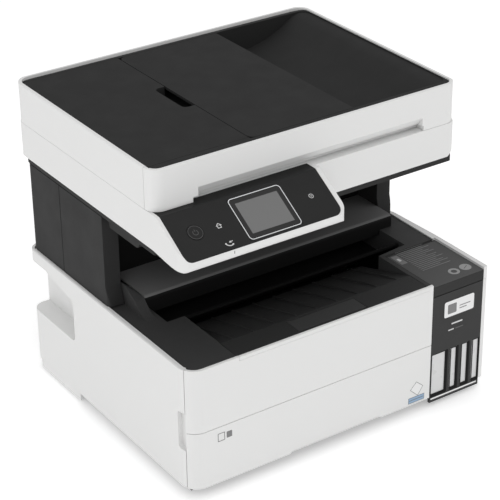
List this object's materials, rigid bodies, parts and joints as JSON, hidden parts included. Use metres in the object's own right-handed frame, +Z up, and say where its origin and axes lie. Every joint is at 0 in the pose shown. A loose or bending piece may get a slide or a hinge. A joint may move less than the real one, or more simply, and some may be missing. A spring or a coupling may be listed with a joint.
{
  "type": "inkjet printer",
  "caption": "Desktop ink-tank inkjet printer with flatbed scanner, document feeder, paper cassette, sliding output tray, side ink-tank unit and tilted control panel.",
  "frame": {"origin": "centre of the lower body, without its swell beside the ink unit, at the bottom of the rubber feet", "axes": "+X to the right of someone facing the printer, +Y to the back, +Z up"},
  "size_m": [0.3794, 0.347, 0.346],
  "materials": {
    "white_shell": "fine matte texture",
    "dark_shell": "fine matte texture",
    "inner_dark": "smooth, matte",
    "panel_gloss": "satin gloss",
    "screen_glass": "glossy grey display",
    "clear_glass": "flat polished",
    "ink_tank": "clear plastic holding ink",
    "ink_cap": "soft, one colour per ink",
    "steel": "pressed and ground",
    "motor_steel": "dark zinc",
    "black_plastic": "smooth",
    "board": "solder-masked circuit board",
    "rubber": "soft",
    "white_pad": "soft white foam"
  },
  "bodies": {
    "base": {"base_frame": "black_plastic", "rubber_feet": "rubber", "left_side_panel": "white_shell", "right_side_panel": "white_shell", "front_panel": "white_shell", "deck_frame": "dark_shell", "exit_cover": "dark_shell", "tower_covers": "dark_shell", "rear_case": "dark_shell", "inner_wall": "inner_dark", "output_bed": "inner_dark", "ink_case": "dark_shell", "ink_tanks": "ink_tank", "ink_caps": "ink_cap", "chassis": "steel", "platen": "black_plastic", "star_wheels": "steel", "motors": "motor_steel", "carriage_belt": "rubber", "capping_station": "black_plastic", "power_supply": "black_plastic", "main_board": "board", "frame_screws": "steel", "scanner_hinges": "dark_shell"},
    "scanner_unit": {"scanner_case": "white_shell", "scanner_base": "dark_shell", "scanner_glass": "clear_glass", "scan_drive": "steel", "control_panel": "panel_gloss", "screen": "screen_glass", "cover_hinges": "dark_shell"},
    "document_cover": {"cover_shell": "white_shell", "cover_front": "dark_shell", "backing_pad": "white_pad", "feeder_frame": "dark_shell"},
    "feeder_cover": {"feeder_cover": "dark_shell"},
    "document_support": {"document_support": "dark_shell"},
    "feeder_roller": {"feeder_roller": "rubber"},
    "feeder_guide_front": {"feeder_guide_front": "dark_shell"},
    "feeder_guide_rear": {"feeder_guide_rear": "dark_shell"},
    "scan_carriage": {"scan_carriage": "black_plastic"},
    "power_button": {"power_button": "panel_gloss"},
    "tray_mid": {"output_tray_mid": "dark_shell"},
    "tray_front": {"output_tray_front": "dark_shell"},
    "output_stopper": {"output_stopper": "dark_shell"},
    "paper_cassette": {"cassette_tray": "black_plastic", "cassette_front": "white_shell", "separation_pad": "rubber"},
    "left_paper_guide": {"left_paper_guide": "black_plastic"},
    "right_paper_guide": {"right_paper_guide": "black_plastic"},
    "paper_stop": {"paper_stop": "black_plastic"},
    "ink_lid": {"ink_lid": "dark_shell"},
    "print_carriage": {"print_carriage": "black_plastic"},
    "drive_pulley": {"drive_pulley": "black_plastic"},
    "idler_pulley": {"idler_pulley": "black_plastic"},
    "feed_roller": {"feed_roller": "steel"},
    "eject_roller": {"eject_roller": "steel"},
    "pickup_roller": {"pickup_roller": "rubber"},
    "rear_cover": {"rear_cover": "dark_shell"},
    "maintenance_box": {"maintenance_box": "black_plastic"}
  },
  "joints": [
    {"name": "scanner_lift", "type": "hinge", "parent": "base", "child": "scanner_unit", "pos_m": [0, 0.156, 0.258], "axis": [-1, 0, 0], "range_deg": [0, 40]},
    {"name": "document_cover_lift", "type": "hinge", "parent": "scanner_unit", "child": "document_cover", "pos_m": [0, 0.1665, 0.303], "axis": [-1, 0, 0], "range_deg": [0, 80]},
    {"name": "feeder_cover_hinge", "type": "hinge", "parent": "document_cover", "child": "feeder_cover", "pos_m": [-0.1635, 0, 0.339], "axis": [0, -1, 0], "range_deg": [0, 80]},
    {"name": "document_support_hinge", "type": "hinge", "parent": "document_cover", "child": "document_support", "pos_m": [0.0573, 0, 0.3395], "axis": [0, 1, 0], "range_deg": [0, 150]},
    {"name": "feeder_roller_spin", "type": "hinge", "parent": "document_cover", "child": "feeder_roller", "pos_m": [-0.096, 0, 0.3218], "axis": [0, 1, 0], "continuous": true},
    {"name": "feeder_guide_front_slide", "type": "slide", "parent": "document_cover", "child": "feeder_guide_front", "axis": [0, 1, 0], "range_m": [0, 0.045]},
    {"name": "feeder_guide_rear_slide", "type": "slide", "parent": "document_cover", "child": "feeder_guide_rear", "axis": [0, -1, 0], "range_m": [0, 0.045]},
    {"name": "scan_carriage_slide", "type": "slide", "parent": "scanner_unit", "child": "scan_carriage", "axis": [1, 0, 0], "range_m": [0, 0.314]},
    {"name": "power_button_press", "type": "slide", "parent": "scanner_unit", "child": "power_button", "axis": [0, 0.5195, -0.8545], "range_m": [0, 0.001], "stiffness_N_per_m": 300},
    {"name": "output_tray_mid_slide", "type": "slide", "parent": "base", "child": "tray_mid", "axis": [0, -0.9563, 0.2924], "range_m": [0, 0.07]},
    {"name": "output_tray_front_slide", "type": "slide", "parent": "tray_mid", "child": "tray_front", "axis": [0, -0.9563, 0.2924], "range_m": [0, 0.075]},
    {"name": "output_stopper_hinge", "type": "hinge", "parent": "tray_front", "child": "output_stopper", "pos_m": [0, -0.1653, 0.1496], "axis": [1, 0, 0], "range_deg": [0, 95]},
    {"name": "paper_cassette_slide", "type": "slide", "parent": "base", "child": "paper_cassette", "axis": [0, -1, 0], "range_m": [0, 0.25]},
    {"name": "left_paper_guide_slide", "type": "slide", "parent": "paper_cassette", "child": "left_paper_guide", "axis": [1, 0, 0], "range_m": [0, 0.055]},
    {"name": "right_paper_guide_slide", "type": "slide", "parent": "paper_cassette", "child": "right_paper_guide", "axis": [-1, 0, 0], "range_m": [0, 0.055]},
    {"name": "paper_stop_slide", "type": "slide", "parent": "paper_cassette", "child": "paper_stop", "axis": [0, 1, 0], "range_m": [0, 0.09]},
    {"name": "ink_lid_hinge", "type": "hinge", "parent": "base", "child": "ink_lid", "pos_m": [0.1513, -0.101, 0.1449], "axis": [-1, 0, 0], "range_deg": [0, 85]},
    {"name": "print_carriage_slide", "type": "slide", "parent": "base", "child": "print_carriage", "axis": [-1, 0, 0], "range_m": [0, 0.243]},
    {"name": "drive_pulley_spin", "type": "hinge", "parent": "base", "child": "drive_pulley", "pos_m": [0.1575, 0.095, 0.19], "axis": [0, 1, 0], "range_deg": [-2400, 2400]},
    {"name": "idler_pulley_spin", "type": "hinge", "parent": "base", "child": "idler_pulley", "pos_m": [-0.1575, 0.095, 0.19], "axis": [0, 1, 0], "range_deg": [-2400, 2400]},
    {"name": "feed_roller_spin", "type": "hinge", "parent": "base", "child": "feed_roller", "pos_m": [0, 0.088, 0.128], "axis": [1, 0, 0], "continuous": true},
    {"name": "eject_roller_spin", "type": "hinge", "parent": "base", "child": "eject_roller", "pos_m": [0, 0.01, 0.126], "axis": [1, 0, 0], "continuous": true},
    {"name": "pickup_roller_spin", "type": "hinge", "parent": "base", "child": "pickup_roller", "pos_m": [0, 0.126, 0.063], "axis": [1, 0, 0], "continuous": true},
    {"name": "rear_cover_slide", "type": "slide", "parent": "base", "child": "rear_cover", "axis": [0, 1, 0], "range_m": [0, 0.06]},
    {"name": "maintenance_box_slide", "type": "slide", "parent": "base", "child": "maintenance_box", "axis": [0, 1, 0], "range_m": [0, 0.07]}
  ],
  "couplings": [
    {"joint": "feeder_guide_rear_slide", "follows": "feeder_guide_front_slide", "ratio": 1},
    {"joint": "right_paper_guide_slide", "follows": "left_paper_guide_slide", "ratio": 1},
    {"joint": "drive_pulley_spin", "follows": "print_carriage_slide", "rad_per_m": 166.67},
    {"joint": "idler_pulley_spin", "follows": "print_carriage_slide", "rad_per_m": 166.67},
    {"joint": "eject_roller_spin", "follows": "feed_roller_spin", "ratio": 1.625}
  ]
}
